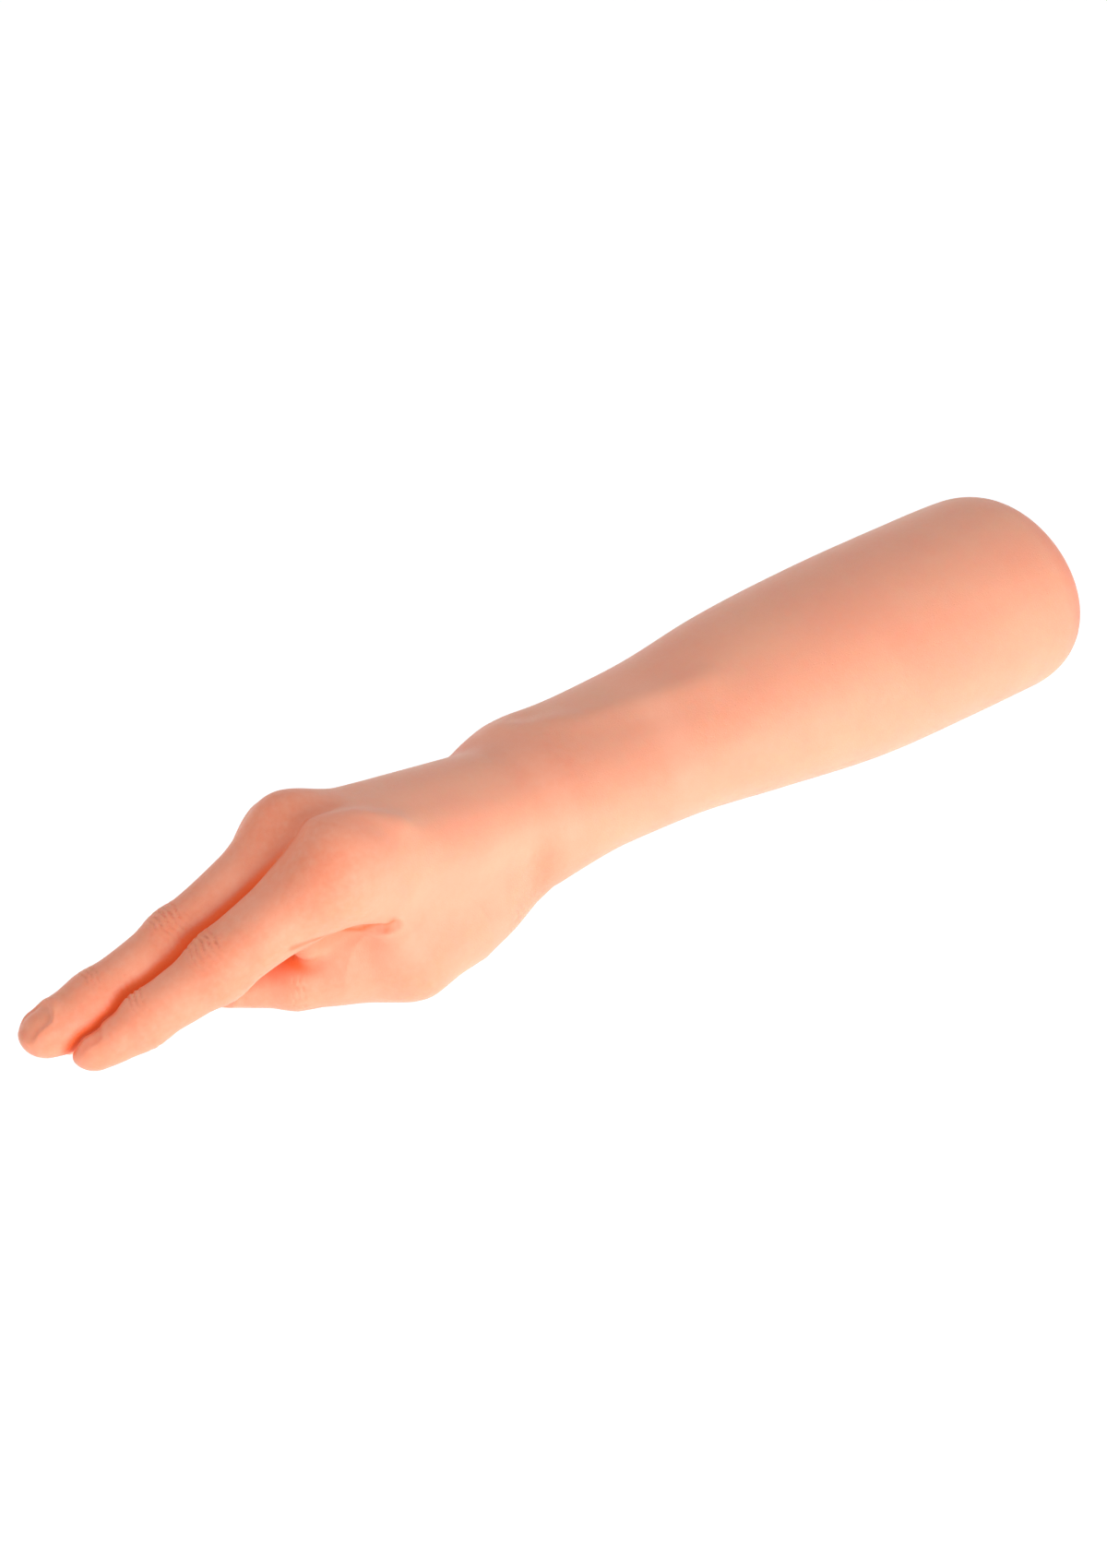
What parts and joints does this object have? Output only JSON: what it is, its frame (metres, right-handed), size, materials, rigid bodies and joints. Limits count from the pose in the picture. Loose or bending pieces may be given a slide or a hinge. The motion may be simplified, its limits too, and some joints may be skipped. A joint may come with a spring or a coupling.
{
  "type": "prosthetic hand",
  "caption": "Passive posable prosthetic hand and forearm: soft flesh-toned skin over a hinged metal armature, with a threaded mount in its flat end.",
  "frame": {"origin": "centre of the forearm's flat end, on the forearm's long line", "axes": "+X points out of the flat end along the forearm, the fingers point towards -X; +Z is the back of the hand; the thumb's side is -Y"},
  "size_m": [0.3688, 0.077, 0.0707],
  "materials": {
    "soft_skin": "satin",
    "foam": "matte",
    "armature_metal": "satin",
    "steel": "brushed",
    "bush_metal": "satin",
    "nylon": "matte"
  },
  "bodies": {
    "forearm": {"forearm_skin": "soft_skin", "forearm_filler": "foam", "end_plate": "armature_metal", "end_plate_screws": "steel", "mounting_bush": "bush_metal", "forearm_tube": "armature_metal", "tube_cross_screws": "steel", "wrist_fork": "armature_metal", "wrist_pin": "steel", "wrist_washers": "nylon"},
    "hand": {"palm_skin": "soft_skin", "palm_filler": "foam", "carpal_block": "armature_metal", "rod_set_screws": "steel", "thumb_bracket": "armature_metal", "index_metacarpal_rod": "armature_metal", "middle_metacarpal_rod": "armature_metal", "ring_metacarpal_rod": "armature_metal", "little_metacarpal_rod": "armature_metal", "knuckle_pins": "steel"},
    "index_proximal": {"index_proximal_link": "armature_metal", "index_proximal_skin": "soft_skin", "index_proximal_pin": "steel"},
    "index_middle": {"index_middle_link": "armature_metal", "index_middle_skin": "soft_skin", "index_middle_pin": "steel"},
    "index_distal": {"index_distal_link": "armature_metal", "index_distal_skin": "soft_skin"},
    "middle_proximal": {"middle_proximal_link": "armature_metal", "middle_proximal_skin": "soft_skin", "middle_proximal_pin": "steel"},
    "middle_middle": {"middle_middle_link": "armature_metal", "middle_middle_skin": "soft_skin", "middle_middle_pin": "steel"},
    "middle_distal": {"middle_distal_link": "armature_metal", "middle_distal_skin": "soft_skin"},
    "ring_proximal": {"ring_proximal_link": "armature_metal", "ring_proximal_skin": "soft_skin", "ring_proximal_pin": "steel"},
    "ring_middle": {"ring_middle_link": "armature_metal", "ring_middle_skin": "soft_skin", "ring_middle_pin": "steel"},
    "ring_distal": {"ring_distal_link": "armature_metal", "ring_distal_skin": "soft_skin"},
    "little_proximal": {"little_proximal_link": "armature_metal", "little_proximal_skin": "soft_skin", "little_proximal_pin": "steel"},
    "little_middle": {"little_middle_link": "armature_metal", "little_middle_skin": "soft_skin", "little_middle_pin": "steel"},
    "little_distal": {"little_distal_link": "armature_metal", "little_distal_skin": "soft_skin"},
    "thumb_metacarpal": {"thumb_metacarpal_link": "armature_metal", "thumb_metacarpal_skin": "soft_skin", "thumb_metacarpal_pin": "steel"},
    "thumb_proximal": {"thumb_proximal_link": "armature_metal", "thumb_proximal_skin": "soft_skin", "thumb_proximal_pin": "steel"},
    "thumb_distal": {"thumb_distal_link": "armature_metal", "thumb_distal_skin": "soft_skin"}
  },
  "joints": [
    {"name": "wrist_bend", "type": "hinge", "parent": "forearm", "child": "hand", "pos_m": [-0.188, 0, 0], "axis": [0, -1, 0], "range_deg": [-25, 45]},
    {"name": "index_knuckle_bend", "type": "hinge", "parent": "hand", "child": "index_proximal", "pos_m": [-0.2815, -0.024, 0.0165], "axis": [-0.1478, -0.989, 0], "range_deg": [-40, 0]},
    {"name": "index_middle_bend", "type": "hinge", "parent": "index_proximal", "child": "index_middle", "pos_m": [-0.31878, -0.01843, -0.00312], "axis": [-0.1478, -0.989, 0], "range_deg": [-5, 40]},
    {"name": "index_end_bend", "type": "hinge", "parent": "index_middle", "child": "index_distal", "pos_m": [-0.34119, -0.01508, -0.01369], "axis": [-0.1478, -0.989, 0], "range_deg": [-5, 35]},
    {"name": "middle_knuckle_bend", "type": "hinge", "parent": "hand", "child": "middle_proximal", "pos_m": [-0.2835, -0.004, 0.017], "axis": [-0.0785, -0.9969, 0], "range_deg": [-40, 0]},
    {"name": "middle_middle_bend", "type": "hinge", "parent": "middle_proximal", "child": "middle_middle", "pos_m": [-0.32108, -0.00104, -0.00262], "axis": [-0.0785, -0.9969, 0], "range_deg": [-5, 40]},
    {"name": "middle_end_bend", "type": "hinge", "parent": "middle_middle", "child": "middle_distal", "pos_m": [-0.34572, 0.0009, -0.01468], "axis": [-0.0785, -0.9969, 0], "range_deg": [-5, 35]},
    {"name": "ring_knuckle_bend", "type": "hinge", "parent": "hand", "child": "ring_proximal", "pos_m": [-0.276, 0.014, 0.0045], "axis": [-0.0087, -1, 0], "range_deg": [-40, 0]},
    {"name": "ring_middle_bend", "type": "hinge", "parent": "ring_proximal", "child": "ring_middle", "pos_m": [-0.30986, 0.0143, -0.01584], "axis": [-0.0087, -1, 0], "range_deg": [-5, 40]},
    {"name": "ring_end_bend", "type": "hinge", "parent": "ring_middle", "child": "ring_distal", "pos_m": [-0.33396, 0.01451, -0.02558], "axis": [-0.0087, -1, 0], "range_deg": [-5, 35]},
    {"name": "little_knuckle_bend", "type": "hinge", "parent": "hand", "child": "little_proximal", "pos_m": [-0.262, 0.0305, -0.009], "axis": [0.0436, -0.999, 0], "range_deg": [-40, 0]},
    {"name": "little_middle_bend", "type": "hinge", "parent": "little_proximal", "child": "little_middle", "pos_m": [-0.29097, 0.02924, -0.02252], "axis": [0.0436, -0.999, 0], "range_deg": [-5, 40]},
    {"name": "little_end_bend", "type": "hinge", "parent": "little_middle", "child": "little_distal", "pos_m": [-0.30913, 0.02844, -0.02808], "axis": [0.0436, -0.999, 0], "range_deg": [-5, 35]},
    {"name": "thumb_base_bend", "type": "hinge", "parent": "hand", "child": "thumb_metacarpal", "pos_m": [-0.212, -0.016, -0.0155], "axis": [0.0816, 0.1424, -0.9864], "range_deg": [-35, 0]},
    {"name": "thumb_middle_bend", "type": "hinge", "parent": "thumb_metacarpal", "child": "thumb_proximal", "pos_m": [-0.255, -0.026, -0.0205], "axis": [0.0816, 0.1424, -0.9864], "range_deg": [-30, 0]},
    {"name": "thumb_end_bend", "type": "hinge", "parent": "thumb_proximal", "child": "thumb_distal", "pos_m": [-0.29, -0.014, -0.0217], "axis": [0.0816, 0.1424, -0.9864], "range_deg": [-25, 0]}
  ]
}
